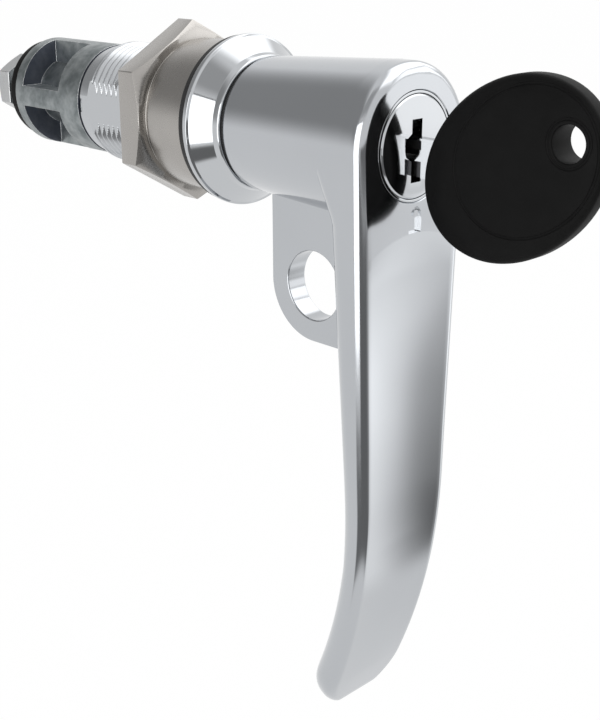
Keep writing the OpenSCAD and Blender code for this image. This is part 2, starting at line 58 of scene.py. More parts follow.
class Shade:
    """A socket in a material's node tree: arithmetic on it makes Math nodes, node() makes any other."""

    def __init__(self, tree, socket=None):
        self.tree = tree
        self.socket = socket

    def node(self, kind, settings=None, inputs=None, out=0):
        made = self.tree.nodes.new("ShaderNode" + kind)
        for key, value in (settings or {}).items():
            setattr(made, key, value)
        for key, value in (inputs or {}).items():
            if isinstance(value, Shade):
                self.tree.links.new(value.socket, made.inputs[key])
            else:
                made.inputs[key].default_value = value
        return Shade(self.tree, made.outputs[out])

    def math(self, operation, *values):
        return self.node("Math", {"operation": operation}, dict(enumerate([self, *values])))

    def __add__(self, other):
        return self.math("ADD", other)

    def __sub__(self, other):
        return self.math("SUBTRACT", other)

    def __rsub__(self, other):
        return (self * -1) + other

    def __mul__(self, other):
        return self.math("MULTIPLY", other)

    def __truediv__(self, other):
        return self.math("DIVIDE", other)

    def __pow__(self, other):
        return self.math("POWER", other)

    __radd__ = __add__
    __rmul__ = __mul__

    def output(self, name):
        return Shade(self.tree, self.socket.node.outputs[name])

    def axis(self, name):
        return self.node("SeparateXYZ", None, {0: self}, name)

    def step(self, low, high):
        return self.node("MapRange", {"interpolation_type": "SMOOTHSTEP"}, {0: self, 1: low, 2: high})

    def noise(self, scale, detail=3.0, roughness=0.5):
        inputs = {"Vector": self, "Scale": scale, "Detail": detail, "Roughness": roughness}
        return self.node("TexNoise", None, inputs)

    def mix(self, low, high):
        return self.node("Mix", {"data_type": "RGBA"}, {0: self, 6: low, 7: high}, 2)

    def bump(self, depth):
        return self.node("Bump", None, {"Height": self, "Distance": depth, "Strength": 1.0})


def shaded(name, shader):
    """A material whose surface is the socket that the shader function gives for its node tree."""
    made = bpy.data.materials.new(name)
    made.use_nodes = True
    made.node_tree.nodes.clear()
    surface = shader(Shade(made.node_tree))
    out = made.node_tree.nodes.new("ShaderNodeOutputMaterial")
    made.node_tree.links.new(surface.socket, out.inputs["Surface"])
    return made


def material(name, paint):
    """A Principled material: paint gets the piece's own coordinates and gives the inputs."""
    return shaded(name, lambda tree: tree.node("BsdfPrincipled", None,
                                               paint(tree.node("TexCoord", None, None, "Object"))))


def rounded(corners, steps=5):
    """A closed outline in mm with rounded corners: each corner is (across, along, radius)."""
    points = []
    for i, (x, y, radius) in enumerate(corners):
        here = Vector((x, y))
        if not radius:
            points.append((x, y))
            continue
        back = (Vector(corners[i - 1][:2]) - here).normalized()
        ahead = (Vector(corners[(i + 1) % len(corners)][:2]) - here).normalized()
        half = back.angle(ahead) / 2
        middle = here + (back + ahead).normalized() * radius / math.sin(half)
        start = here + back * radius / math.tan(half) - middle
        end = here + ahead * radius / math.tan(half) - middle
        points += [tuple(middle + start.slerp(end, k / steps) * radius) for k in range(steps + 1)]
    return points


def clean(piece, crease=32):
    """Double points merged, faces turned outward, smooth shading up to the crease angle."""
    shape = bmesh.new()
    shape.from_mesh(piece.data)
    bmesh.ops.remove_doubles(shape, verts=shape.verts, dist=0.002 * MM)
    bmesh.ops.dissolve_degenerate(shape, edges=shape.edges, dist=0.001 * MM)
    bmesh.ops.recalc_face_normals(shape, faces=shape.faces)
    shape.to_mesh(piece.data)
    shape.free()
    piece.data.shade_smooth()
    piece.data.set_sharp_from_angle(angle=math.radians(crease))
    return piece


def skin(name, rings, loop=True):
    """A closed skin through rings of points in mm. The last ring meets the first, or both ends are capped."""
    n, m = len(rings[0]), len(rings)
    faces = [(i * n + j, i * n + (j + 1) % n, (i + 1) % m * n + (j + 1) % n, (i + 1) % m * n + j)
             for i in range(m if loop else m - 1) for j in range(n)]
    if not loop:
        faces += [tuple(range(n)), tuple(range((m - 1) * n, m * n))]
    mesh = bpy.data.meshes.new(name)
    mesh.from_pydata([tuple(c * MM for c in p) for ring in rings for p in ring], [], faces)
    piece = bpy.data.objects.new(name, mesh)
    bpy.context.collection.objects.link(piece)
    return clean(piece)


def around(count):
    """Evenly spaced angles of one whole turn."""
    return [math.tau * k / count for k in range(count)]


def turned(name, outline, angles=around(144)):
    """Piece turned about the axis. The outline of (radius, y) is a list, or a function of the angle."""
    outlines = [(a, outline(a) if callable(outline) else outline) for a in angles]
    return skin(name, [[(r * math.sin(a), y, r * math.cos(a)) for r, y in points] for a, points in outlines])


def part(piece, body, slot, paint, *nodes):
    """Gives a piece its material and its place in the frame, for the CAD nodes that it stands for."""
    piece.data.materials.clear()
    piece.data.materials.append(paint)
    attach(piece, body)
    if nodes:
        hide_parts(*nodes)
    return piece


def housing_outline(a):
    """Outline of the housing at an angle: bezel, thread with its flats, bore with recess and notches."""
    turn = math.degrees(a) % 360
    recess = RECESS_R if RECESS_FROM < turn < RECESS_TO else BORE_R
    notch = NOTCH_R if min(turn, 360 - turn, abs(turn - 90)) < NOTCH_HALF else BORE_R
    bezel = rounded([(recess, LIP_Y, 0), (11.65, LIP_Y, 0.45), (12.0, -4.3, 0.4), (14.55, -1.05, 0.15),
                     (BEZEL_R, -0.85, 0.2), (BEZEL_R, 0.0, 0.1), (NECK_R, 0.0, 0)], 4)
    flat = FLAT_X / max(1e-6, abs(math.sin(a)))
    thread = [(min(NECK_R, flat), 0.4)]
    for k in range(166):
        y = THREAD_START + k * 0.1
        saw = abs(((y / PITCH - a / math.tau) % 1) - 0.5) * 2
        groove = 1 - min(1, max(0, (saw - 0.1) / 0.76))
        depth = (THREAD_R - ROOT_R) * groove * min(1, max(0, (THREAD_FADE - y) / 0.5))
        lead = (THREAD_R - LEAD_R) * min(1, max(0, (y - LEAD_START) / 1.2))
        thread.append((min(THREAD_R - depth - lead, flat), y))
    thread += [(min(LEAD_R, flat), BARREL_END - 0.25), (LEAD_R - 0.25, BARREL_END)]
    bore = [(BORE_R, BARREL_END), (BORE_R, 0.2), (notch, 0.2), (notch, -3.2), (BORE_R, -3.2),
            (BORE_R, -3.8), (recess, -3.8)]
    return bezel + thread + bore


def chrome_skin(p):
    """Bright chrome on the bezel, a duller one on the barrel, which the polishing wheel doesn't reach."""
    dull = p.axis("Y").step(0.004, 0.012)
    return {"Base Color": p.noise(60.0).mix((0.48, 0.495, 0.513, 1), (0.52, 0.535, 0.553, 1)),
            "Metallic": 1.0,
            "Roughness": p.noise(900.0, 2.0) * 0.02 + 0.07 + dull * 0.15}


chrome = material("bright_chrome", chrome_skin)
near_flats = [math.radians(58 + 180 * side + 0.6 * k) for side in (0, 1) for k in range(107)]
elsewhere = [math.radians(122 + 180 * side + 2.4 * k) for side in (0, 1) for k in range(1, 48)]
housing = turned("bezel_and_threaded_barrel", housing_outline, sorted(near_flats + elsewhere))
part(housing, "mounting", "chrome_housing", chrome, "mounting_housing")


# Panel gasket: flat ring of black rubber between bezel and panel, a little smaller than the bezel.
# It is slid over the barrel, and the nut squeezes it tight.
GASKET_R, GASKET_BORE = 14.75, 11.5
rubber = material("black_rubber", lambda p: {
    "Base Color": p.noise(700.0).mix((0.006, 0.006, 0.007, 1), (0.012, 0.012, 0.012, 1)),
    "Roughness": p.noise(2500.0) * 0.15 + 0.5,
    "Normal": p.noise(4000.0).bump(0.00002)})
gasket = turned("rubber_gasket", rounded([(GASKET_R, 0.02, 0.3), (GASKET_R, 1.48, 0.3),
                                          (GASKET_BORE, 1.48, 0.2), (GASKET_BORE, 0.02, 0.2)]))
part(gasket, "mounting", "black_rubber", rubber, "panel_gasket")


# Mounting nut: turned from hexagon bar, with a long round collar that clamps the panel and a groove
# behind it. It is dull zinc plated, and screwed on the barrel from behind.
NUT_HALF, NUT_EDGE = 14.35, 0.25
NUT_BORE = 11.46
COLLAR_R, COLLAR_FRONT, GROOVE_R = 13.5, 1.52, 12.7
HEX_FRONT, NUT_REAR = 12.9, 18.28


def hex_radius(a, half, edge):
    """Radius of a hexagon with corners up and down, rounded by edge, at an angle."""
    off = abs((a + math.pi / 6) % (math.pi / 3) - math.pi / 6)
    centre = (half - edge) / math.cos(math.pi / 6)
    if off < math.atan2(edge * 0.5, centre + edge * math.cos(math.pi / 6)):
        return centre * math.cos(off) + math.sqrt(edge ** 2 - (centre * math.sin(off)) ** 2)
    return half / math.cos(math.pi / 6 - off)


def nut_outline(a):
    """Outline of the nut at an angle: bore, collar with its groove, chamfered hexagon."""
    r = hex_radius(a, NUT_HALF, NUT_EDGE)
    chamfer = HEX_FRONT + 0.05 + (r - NUT_HALF + 0.1) * math.tan(math.radians(30))
    collar = rounded([(NUT_BORE, COLLAR_FRONT, 0.2), (COLLAR_R, COLLAR_FRONT, 0.25), (COLLAR_R, 11.5, 0.5),
                      (GROOVE_R, 12.2, 0.3), (GROOVE_R, HEX_FRONT, 0.15), (NUT_HALF - 0.12, HEX_FRONT, 0)], 4)
    hexagon = [(r - 0.1, chamfer - 0.08), (r, chamfer), (r, NUT_REAR - 0.18), (r - 0.05, NUT_REAR - 0.04),
               (r - 0.18, NUT_REAR)]
    return collar + hexagon + [(12.0, NUT_REAR), (NUT_BORE, NUT_REAR - 0.53)]


near_corner = [k * math.radians(0.35) for k in range(-6, 7)]
along_flat = [math.radians(30) + k * math.radians(3.2) for k in range(-8, 9)]
hex_angles = [math.radians(60) * i + a for i in range(6) for a in near_corner + along_flat]
plate = material("dull_zinc_plate", lambda p: {
    "Base Color": p.noise(120.0).mix((0.355, 0.34, 0.325, 1), (0.42, 0.405, 0.385, 1)),
    "Metallic": 1.0,
    "Roughness": p.noise(600.0) * 0.06 + 0.24})
nut = turned("collared_hexagon_nut", nut_outline, hex_angles)
part(nut, "mounting", "plated_nut", plate, "mounting_nut")


# Hub seal: thin black rubber ring that lies in the gap between the bezel's lip and the grip.
# It stays on the bezel while the handle turns against it.
SEAL_R, SEAL_BORE = 11.15, 10.2
SEAL_FRONT, SEAL_REAR = -5.93, -5.52
seal = turned("hub_seal_ring", rounded([(SEAL_R, SEAL_FRONT, 0.12), (SEAL_R, SEAL_REAR, 0.12),
                                        (SEAL_BORE, SEAL_REAR, 0), (SEAL_BORE, SEAL_FRONT, 0)]))
part(seal, "mounting", "black_rubber", rubber, "hub_seal")


# Handle: one zinc die casting, polished and chromed. A round grip runs into a flat head with the lock
# in it, the lever hangs from the head, and a flat web under the grip has the eye for a padlock.
FRONT = -39.2
HEAD_R = 13.2
EDGE, BACK = 2.0, 4.2
THICK, THINNER, THINNEST_AT = 8.8, 3.2, 0.68
STRAIGHT, BEND = 59.0, 107.0
FULL = STRAIGHT + 50.0
TIP, TIP_HALF, NOSE = 9.4, 9.5, 3.0
COVE, COVE_TOP, COVE_DEEP = 11.8, 3.25, 3.84
HOLLOW_TOP, HOLLOW_STEP, HOLLOW_DEEP = 13.9, 0.27, 0.8
HOLLOW_ARC_R, HOLLOW_ARC_FADE = 19, 12.5
FACE_POINTS, ARC_POINTS = 14, 10
LOCK_BORE, HUB_R = 8.84, 8.0
EYE_Y, EYE_Z, EYE_R = -18.7, -26.5, 6.2
WEB_HALF, WEB_REACH, WEB_TO_LEVER, WEB_TO_GRIP = 2.15, 10.2, 14.5, 15.6


def cut(piece, cutter, crease=32):
    """The piece with another solid cut out of it."""
    step = piece.modifiers.new("boolean", "BOOLEAN")
    step.operation = "DIFFERENCE"
    step.object = cutter
    step.solver = "EXACT"
    bpy.context.view_layer.update()
    mesh = bpy.data.meshes.new_from_object(piece.evaluated_get(bpy.context.evaluated_depsgraph_get()))
    piece.modifiers.clear()
    piece.data = mesh
    bpy.data.objects.remove(cutter)
    return clean(piece, crease)


def block(name, low, high):
    """A plain box, used as a cutter."""
    (x0, y0, z0), (x1, y1, z1) = low, high
    return skin(name, [[(x, y0, z0), (x, y1, z0), (x, y1, z1), (x, y0, z1)] for x in (x0, x1)], loop=False)


def joined(name, pieces):
    """Several closed solids as one piece."""
    keep = pieces[0]
    keep.name = name
    with bpy.context.temp_override(active_object=keep, selected_editable_objects=pieces, object=keep):
        bpy.ops.object.join()
    return keep


def between(start, end):
    """Angles that divide an arc of the lever's section evenly, both ends included."""
    return [start + (end - start) * k / (ARC_POINTS - 1) for k in range(ARC_POINTS)]


def head_section(z):
    """Half of the head's section at a height z over the axis, as (x, depth behind the front face)."""
    flat, rear = HEAD_R - EDGE, THICK - BACK
    lead = math.asin(min(1, max(0, (z - flat) / EDGE)))
    tail = math.acos(min(1, max(0, (z - HEAD_R + BACK) / BACK)))
    across = lambda r: math.sqrt(max(0, r * r - z * z))
    width, depth = (across(flat), 0) if z < flat else (0, EDGE * (1 - math.cos(lead)))
    front = [(width * k / FACE_POINTS, depth) for k in range(FACE_POINTS)]
    arc = [(across(flat + EDGE * math.sin(b)), EDGE * (1 - math.cos(b))) for b in between(lead, math.pi / 2)]
    walls = [(across(HEAD_R), EDGE + (rear - EDGE) * k / 4) for k in range(1, 4)]
    back = [(across(HEAD_R - BACK + BACK * math.cos(b)), rear + BACK * math.sin(b)) for b in between(0, tail)]
    end = across(HEAD_R - BACK) if z < HEAD_R - BACK else 0
    return front + arc + walls + back + [(end * k / 4, back[-1][1]) for k in (3, 2, 1, 0)]


def lever_half(s):
    """Half of the lever's width at a distance s below the axis."""
    return HEAD_R * (1 - s / FULL) + TIP_HALF * s / FULL


def lever_section(s):
    """Half of the lever's section at a distance s below the axis, as (x, depth behind the front face)."""
    if s < 0:
        return head_section(-s)
    u = max(0, s - FULL + TIP) / TIP
    share = max(0.05, math.sqrt(max(0, 1 - u * u)))
    half = lever_half(s) * share
    cove = COVE_DEEP * min(1, s / 1.2) * max(0, (COVE - s) / (COVE - COVE_TOP)) ** 1.2
    thinned = THINNER * min(1, s / FULL / THINNEST_AT)
    swollen = max(0, s / FULL - THINNEST_AT) / (1 - THINNEST_AT)
    thick = cove + THICK - thinned + swollen
    v = max(0, s - FULL + NOSE) / NOSE
    nose = thick * 0.5 * (1 - max(0.08, math.sqrt(max(0, 1 - v * v))))
    low, high = nose, thick - nose
    front_r = min(EDGE, (high - low) * 0.3, half * 0.9)
    back_r = min(BACK, (high - low) * 0.66, half * 0.9)
    draft = 0.6 * min(1, s / 1.2) * max(0, 1 - s / 9)
    ramp, rest = (min(1, max(0, (s - start) / length)) for start, length in ((HOLLOW_TOP, 6), (20, 24)))
    deep = HOLLOW_STEP * ramp + (HOLLOW_DEEP - HOLLOW_STEP) * rest * rest * (3 - 2 * rest)
    hollow = min(deep, HOLLOW_DEEP * max(0, (FULL - TIP - s) / 30))
    front = [(k * (half - front_r), low + hollow * (1 - k * k) * share)
             for k in (i / FACE_POINTS for i in range(FACE_POINTS))]
    arc = [(half - front_r + front_r * math.sin(b), low + front_r * (1 - math.cos(b)))
           for b in between(0, math.pi / 2)]
    upright = high - low - front_r - back_r
    walls = [(half - draft * k / 4, low + front_r + upright * k / 4) for k in range(1, 4)]
    back = [(half - draft - back_r + back_r * math.cos(b), high - back_r + back_r * math.sin(b))
            for b in between(0, math.pi / 2)]
    return front + arc + walls + back + [((half - draft - back_r) * k / 4, high) for k in (3, 2, 1, 0)]


def lever_point(x, q, s):
    """A place on the lever: x across, q behind the front face, s along it."""
    if s <= STRAIGHT:
        return (x, FRONT + q, -s)
    a = (s - STRAIGHT) / BEND
    return (x, FRONT + BEND - (BEND - q) * math.cos(a), -STRAIGHT - (BEND - q) * math.sin(a))


def lever_ring(s):
    """A whole ring of the lever. Below the lock its points follow the arc at the top of the thumb hollow."""
    near = max(0, 1 - abs(s - HOLLOW_TOP) / HOLLOW_ARC_FADE)
    shift = lambda x: x * x / (2 * HOLLOW_ARC_R) * near
    half = lever_section(s + shift(lever_half(max(0, s))) if s > 1 else s)
    depths = [q for x, q in lever_section(s)[:FACE_POINTS] + half[FACE_POINTS:]]
    ring = [(x, q, s + shift(x)) for (x, _), q in zip(half, depths)]
    return [lever_point(*p) for p in ring] + [lever_point(-x, q, d) for x, q, d in ring[-2:0:-1]]


stations = [-HEAD_R * math.cos(math.radians(90) * k / 26) for k in range(26)]
stations += [k * 1.15 for k in range(12)] + [13.5, 13.8] + [HOLLOW_TOP + k * 0.35 for k in range(7)]
stations += [17 + k * 0.9 for k in range(94)]
stations = [s for s in stations if s < FULL - TIP]
stations += [FULL - TIP + TIP * math.sin(math.radians(4 * k)) for k in range(11)]
stations += [FULL - NOSE + NOSE * math.sin(math.radians(b)) for b in range(5, 89, 6)] + [FULL - 0.006]
lever = skin("lever", [lever_ring(s) for s in stations], loop=False)
mouth = turned("lock_bore", [(0.0, -40), (9.6, -40), (LOCK_BORE, FRONT + 0.2), (LOCK_BORE, -28), (0.0, -28)])
lever = cut(lever, mouth)

BOW_X, BOW_Z, BOW_R, BOW_BORE = 0.5, -10.75, 1.15, 0.6
half_turn = [math.pi * k / 16 for k in range(17)]
bow = [(BOW_X + BOW_R * math.cos(b), BOW_Z + BOW_R * math.sin(b)) for b in half_turn]
bow += [(-0.65, -10.95), (-0.1, -10.95)]
bow += [(BOW_X - BOW_BORE * math.cos(b), BOW_Z + BOW_BORE * math.sin(b)) for b in half_turn]
bow += [(1.1, -11.5), (1.65, -11.5)]
case = rounded([(-1.2, -11.3, 0.15), (1.9, -11.3, 0.15), (1.9, -13.9, 0.15), (-1.2, -13.9, 0.15)], 3)
for outline, deep in ((bow, 0.6), (case, 0.7)):
    ends = (FRONT - 1, FRONT + deep)
    lever = cut(lever, skin("padlock_sign", [[(x, y, z) for x, z in outline] for y in ends], loop=False))

grip = turned("grip", rounded([
    (HUB_R, -6.2, 0), (11.65, -6.2, 0.75), (HEAD_R, -34.5, 0), (13.0, -35.4, 0), (LOCK_BORE, -35.4, 0),
    (LOCK_BORE, -12.4, 0), (6.0, -12.4, 0), (6.0, 0.2, 0), (0.0, 0.2, 0), (0.0, 16.0, 0), (HUB_R, 16.0, 0.3),
    (HUB_R, 3.85, 0), (6.1, 3.85, 0.2), (6.1, 1.55, 0.2), (HUB_R, 1.55, 0)]))
grip = cut(grip, block("bolt_slot", (-2.65, -3.05, 0), (2.65, 0.2, 9)))
grip = cut(grip, block("tang_socket", (-4.52, 5.0, -4.52), (4.52, 17, 4.52)))
pin_hole = skin("pin_hole", [[(x, 11 + 2.02 * math.cos(a), 2.02 * math.sin(a)) for a in around(32)]
                             for x in (-9, 9)], loop=False)
grip = cut(grip, pin_hole)
lug_section = [(7.8, -6.5), (9.6, -6.5), (9.6, -4.1), (7.8, -4.1)]
lug = skin("stop_lug", [[(r * math.sin(a), y, r * math.cos(a)) for r, y in lug_section]
                        for a in (math.radians(168 + 3 * k) for k in range(9))], loop=False)


def web_outline(a):
    """Outline of the web at an angle about the eye: round at its free corner, square into grip and lever."""
    c, s = math.cos(a), math.sin(a)
    reach = WEB_REACH
    if s > 0 or c < 0:
        sides = ((WEB_REACH, c), (WEB_TO_LEVER, -c), (WEB_TO_GRIP, s), (WEB_REACH, -s))
        reach = min(side / way for side, way in sides if way > 1e-6)
    loop = rounded([(EYE_R, -WEB_HALF, 0.28), (reach, -WEB_HALF, 0.3),
                    (reach, WEB_HALF, 0.3), (EYE_R, WEB_HALF, 0.28)], 4)
    return [(x, EYE_Y + d * c, EYE_Z + d * s) for d, x in loop]


web = skin("web", [web_outline(a) for a in around(180)])
polished = material("polished_chrome", lambda p: {
    "Base Color": p.noise(60.0).mix((0.46, 0.476, 0.497, 1), (0.497, 0.513, 0.535, 1)),
    "Metallic": 1.0,
    "Roughness": p.noise(500.0) * 0.03 + 0.10})
handle = joined("chromed_handle", [lever, grip, web, lug])
part(handle, "handle", "satin_chrome", polished, "handle")
# The walls of the engraved padlock sign get a nearly white metal: a painted highlight on the recess walls.
handle.data.materials.append(material("engraving_painted_highlight", lambda p: {
    "Base Color": p.noise(300.0).mix((0.9, 0.91, 0.92, 1), (0.95, 0.96, 0.97, 1)),
    "Metallic": 1.0,
    "Roughness": p.noise(500.0) * 0.05 + 0.2}))
for face in handle.data.polygons:
    x, y, z = (c / MM for c in face.center)
    in_sign = -1.4 < x < 2 and FRONT + 0.02 < y < FRONT + 0.68 and -14.2 < z < -9.4
    if in_sign and abs(face.normal.y) < 0.5:
        face.material_index = 1
weights = handle.modifiers.new("weighted_normals", "WEIGHTED_NORMAL")
weights.keep_sharp = True


# Spindle: raw zinc die casting with four cored pockets and a square seat for the cam, pinned in the hub.
# Its skin is blue-grey and blotched where the metal froze unevenly.
def soften(node, width, bright=False):
    """Small rounded edges on a CAD node, by modifiers only. With bright set, they show its second material, a
    painted edge highlight.
    """
    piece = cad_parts[node]
    piece.modifiers.new("weld", "WELD").merge_threshold = 0.002 * MM
    edge = piece.modifiers.new("edges", "BEVEL")
    edge.width = width * MM
    edge.segments = 3
    edge.limit_method = "ANGLE"
    edge.angle_limit = math.radians(35)
    edge.harden_normals = True
    edge.material = 1 if bright else -1
    for face in piece.data.polygons:
        face.use_smooth = True
    return piece


def zinc_skin(p):
    """Pale blotches and clouds on grey zinc, and painted shade that darkens the pocket walls facing forward.
    """
    blotch = (p.noise(330.0, 4.0, 0.6) * 1.6 - 0.3).step(0.1, 0.9)
    cloud = p.noise(900.0, 3.0, 0.6)
    tone = blotch.mix((0.10, 0.12, 0.125, 1), (0.36, 0.385, 0.39, 1))
    tone = (cloud * 0.55).mix(tone, (0.24, 0.26, 0.265, 1))
    # Painted shade: faces that look forward, the pocket walls, are mixed towards a dark blue-grey.
    painted_pocket_shade = 1 - p.output("Normal").axis("Y").step(-0.9, -0.6)
    return {"Base Color": (painted_pocket_shade * 0.8).mix(tone, (0.045, 0.05, 0.075, 1)), "Metallic": 0.85,
            "Roughness": cloud * 0.2 + 0.3, "Normal": (blotch + cloud).bump(0.00003)}


zinc = material("raw_zinc_casting", zinc_skin)
spindle = part(soften("spindle", 0.4, bright=True), "handle", "raw_zinc", zinc)
# The bevelled edges get a nearly white metal: a painted highlight along the edges of rings and pockets.
spindle.data.materials.append(material("zinc_edge_painted_highlight", lambda p: {
    "Base Color": p.noise(400.0).mix((0.8, 0.82, 0.82, 1), (0.95, 0.96, 0.96, 1)),
    "Metallic": 1.0,
    "Roughness": p.noise(900.0) * 0.1 + 0.22}))


# Cam washer and cam screw: washer of black plastic, and hexagon screw of zinc plated steel.
# They clamp a cam on the spindle's square seat.
WASHER_R, WASHER_BORE = 9.88, 5.8
WASHER_FRONT, WASHER_REAR = 58.62, 60.98
SCREW_HALF, SCREW_EDGE, SHANK_R = 5.55, 0.15, 3.08
SCREW_FRONT, SCREW_HEAD, SCREW_END = 49.0, 68.22, 72.18
grain = material("black_plastic", lambda p: {
    "Base Color": p.noise(300.0).mix((0.005, 0.005, 0.005, 1), (0.008, 0.008, 0.008, 1)),
    "Specular IOR Level": 0.06,
    "Roughness": p.noise(1800.0) * 0.12 + 0.42,
    "Normal": p.noise(5000.0, 2.0).bump(0.00001)})
steel = material("plated_steel", lambda p: {
    "Base Color": p.noise(220.0).mix((0.40, 0.405, 0.41, 1), (0.50, 0.505, 0.51, 1)),
    "Metallic": 1.0,
    "Roughness": p.noise(700.0) * 0.12 + 0.22})
washer = turned("cam_washer_ring", rounded([
    (WASHER_R, WASHER_FRONT, 0.1), (WASHER_R, WASHER_REAR, 0.35),
    (WASHER_BORE, WASHER_REAR, 0.1), (WASHER_BORE, WASHER_FRONT, 0.1)]))
part(washer, "handle", "black_plastic", grain, "cam_washer")


def screw_outline(a):
    """Outline of the hexagon screw at an angle: shank, head with a chamfered end."""
    r = hex_radius(a, SCREW_HALF, SCREW_EDGE)
    top = SCREW_END - (r - 5.2) * math.tan(math.radians(30))
    return [(0.0, SCREW_FRONT), (2.7, SCREW_FRONT), (SHANK_R, SCREW_FRONT + 0.4), (SHANK_R, SCREW_HEAD),
            (5.3, SCREW_HEAD), (r - 0.1, SCREW_HEAD + 0.04), (r, SCREW_HEAD + 0.14), (r, top),
            (5.2, SCREW_END), (4.6, SCREW_END - 0.08), (0.0, SCREW_END - 0.08)]


screw = turned("cam_screw_hexagon", screw_outline, hex_angles)
part(screw, "handle", "steel", steel, "cam_screw")


# Inner pieces of the handle: rubber ring in the hub's groove, which seals it in the barrel, and a steel
# cross pin that is pressed through hub and tang and drives the spindle.
part(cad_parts["journal_o_ring"], "handle", "black_rubber", rubber)
part(soften("drive_pin", 0.25), "handle", "steel", steel)


# Lock: chromed sleeve pressed in the head, and in it a chromed plug with a key slot that has a round bulge.
# The plug is milled through for its wafers, and beside them for their springs.
SLEEVE_REAR, SLEEVE_FRONT, SLEEVE_STEP = -14.22, -39.12, -36.65
SLEEVE_BORE, COUNTERBORE = 6.55, 8.36
PLUG_FRONT, PLUG_REAR, PLUG_STEP = -39.35, -12.6, -36.97
PLUG_R, PLUG_HEAD_R = 6.48, 8.24
SLOT_HALF, BULGE_R = 1.2, 3
WAFERS, WAFER_FIRST, WAFER_PITCH = 5, -33.95, 3.4
sleeve = turned("lock_sleeve_tube", rounded([
    (8.78, SLEEVE_FRONT, 0.08), (8.8, SLEEVE_REAR, 0.2), (SLEEVE_BORE, SLEEVE_REAR, 0),
    (SLEEVE_BORE, SLEEVE_STEP, 0), (COUNTERBORE, SLEEVE_STEP, 0), (COUNTERBORE, SLEEVE_FRONT, 0.06)]))
part(sleeve, "handle", "steel", chrome, "lock_sleeve")

plug = turned("lock_plug_round", rounded([
    (0.0, PLUG_FRONT, 0), (7.98, PLUG_FRONT, 0.06), (PLUG_HEAD_R, -39.1, 0.06), (PLUG_HEAD_R, PLUG_STEP, 0),
    (PLUG_R, PLUG_STEP, 0), (PLUG_R, -13.98, 0), (5.5, -13.98, 0), (5.5, -13.12, 0), (PLUG_R, -13.12, 0),
    (PLUG_R, PLUG_REAR, 0.1), (0.0, PLUG_REAR, 0)]))
bulge = [(-SLOT_HALF - 1.6 + BULGE_R + BULGE_R * math.cos(b), BULGE_R * math.sin(b))
         for b in map(math.radians, range(152, 209, 4))]
slot = [(SLOT_HALF, -5.6), (SLOT_HALF, 4.4), (-SLOT_HALF, 4.4), (-SLOT_HALF, 2.2)]
slot += [(min(x, -SLOT_HALF), z) for x, z in bulge] + [(-SLOT_HALF, -2.2), (-SLOT_HALF, -5.6)]
plug = cut(plug, skin("key_slot", [[(x, y, z) for x, z in slot] for y in (-41, -16.35)], loop=False))
for i in range(WAFERS):
    y = WAFER_FIRST + WAFER_PITCH * i
    plug = cut(plug, block("wafer_slot", (-3.1, y - 0.6, -7), (3.1, y + 0.6, 7)))
    plug = cut(plug, block("spring_room", (0, y - 0.8, -2.6), (5.4, y + 0.8, 3)))
plug = cut(plug, block("tail_socket", (-2.02, -15.6, -2.02), (2.02, -12, 2.02)))
part(plug, "plug", "chrome_housing", chrome, "lock_plug")


# Inside the lock: stamped wafers of nickel silver with their springs, an open clip, the tail with its
# spiral slot, and the bolt with its follower pin. All but the wafers are of plated steel.
silver = material("nickel_silver", lambda p: {
    "Base Color": p.noise(500.0).mix((0.42, 0.40, 0.36, 1), (0.52, 0.50, 0.46, 1)),
    "Metallic": 1.0,
    "Roughness": p.noise(1200.0) * 0.15 + 0.25})
part(soften("wafers", 0.08), "plug", "nickel_silver", silver)
for name, body, width in (
        ("wafer_springs", "plug", 0.05), ("plug_clip", "plug", 0.08), ("lock_tail", "plug", 0.1),
        ("lock_bolt", "bolt", 0.15), ("bolt_pin", "bolt", 0.1)):
    part(soften(name, width), body, "steel", steel)


# Key blade: flat steel bar, nickel plated, cut on both edges for the wafers and milled with two grooves.
# Its rear end is moulded into the key's head.
BLADE_LOW, BLADE_HIGH, BLADE_HALF = -4.6, 1.6, 0.9
BLADE_ROOT, BLADE_NECK, BLADE_TIP = -60.2, -18.6, -17.35
GROOVE_FLOOR = -0.4
nickel = material("bright_nickel", lambda p: {
    "Base Color": p.noise(200.0).mix((0.58, 0.585, 0.59, 1), (0.64, 0.645, 0.65, 1)),
    "Metallic": 1.0,
    "Roughness": p.noise(800.0) * 0.05 + 0.1})
cuts = [(WAFER_FIRST + WAFER_PITCH * i, 0.35 + 0.3 * (i % 3)) for i in range(WAFERS)]
cut_corners = [(y + dy, deep, abs(dy) < 1) for y, deep in cuts for dy in (-1.4, -0.5, 0.5, 1.4)]
upper = [(y, BLADE_HIGH - deep * in_cut) for y, deep, in_cut in cut_corners]
lower = [(y, BLADE_LOW + (1.0 - deep) * in_cut) for y, deep, in_cut in cut_corners]
point = [(BLADE_NECK, BLADE_HIGH), (BLADE_TIP, -1.5), (BLADE_NECK, BLADE_LOW)]
bar = [(BLADE_ROOT, BLADE_HIGH)] + upper + point + lower[::-1] + [(BLADE_ROOT, BLADE_LOW)]
blade = skin("key_blade_flat", [[(x, y, z) for y, z in bar] for x in (-BLADE_HALF, BLADE_HALF)], loop=False)
for low, high in ((-0.16, 1.26), (-5.0, -2.0)):
    blade = cut(blade, block("milled_groove", (-2, -41, low), (GROOVE_FLOOR, -16, high)))
part(blade, "key", "steel", nickel, "key_blade")
# The floors of the two milled grooves are painted nearly black: painted shade inside the grooves.
blade.data.materials.append(material("groove_painted_shade", lambda p: {
    "Base Color": p.noise(400.0).mix((0.06, 0.06, 0.062, 1), (0.10, 0.10, 0.103, 1)),
    "Metallic": 1.0,
    "Roughness": p.noise(900.0) * 0.1 + 0.3}))
for face in blade.data.polygons:
    if abs(face.center.x / MM - GROOVE_FLOOR) < 0.01:
        face.material_index = 1


